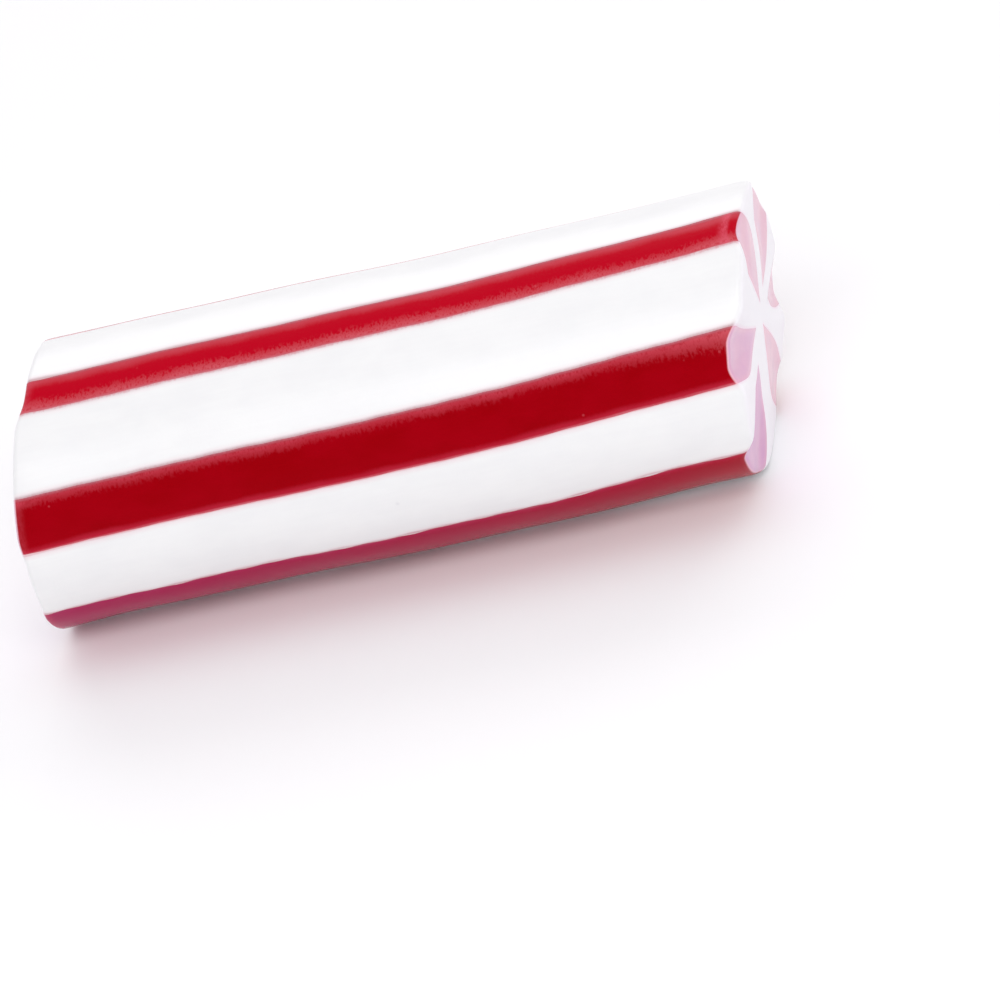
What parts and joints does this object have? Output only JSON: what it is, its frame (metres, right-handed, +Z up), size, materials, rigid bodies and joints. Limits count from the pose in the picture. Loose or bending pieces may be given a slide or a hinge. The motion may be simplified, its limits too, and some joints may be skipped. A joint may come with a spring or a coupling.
{
  "type": "candy twist",
  "caption": "Short round log of white pulled sugar with red stripes that run right through it and show as a pinwheel on each cut end; it lies on a small flat.",
  "frame": {"origin": "centre of the bounding box's bottom face, on the resting flat", "axes": "+X along the candy towards the end with the sunken petals, -Y the shown side, +Z up"},
  "size_m": [0.036, 0.0132, 0.0129],
  "materials": {
    "white_sugar": "satin opaque pulled sugar with a faint grain along its length",
    "red_sugar": "satin red sugar, deeper in the middle of a stripe and paler where it is cut"
  },
  "bodies": {
    "root": {"sugar_body": "white_sugar", "red_stripe_1": "red_sugar", "red_stripe_2": "red_sugar", "red_stripe_3": "red_sugar", "red_stripe_4": "red_sugar", "red_stripe_5": "red_sugar", "red_stripe_6": "red_sugar"}
  },
  "joints": []
}
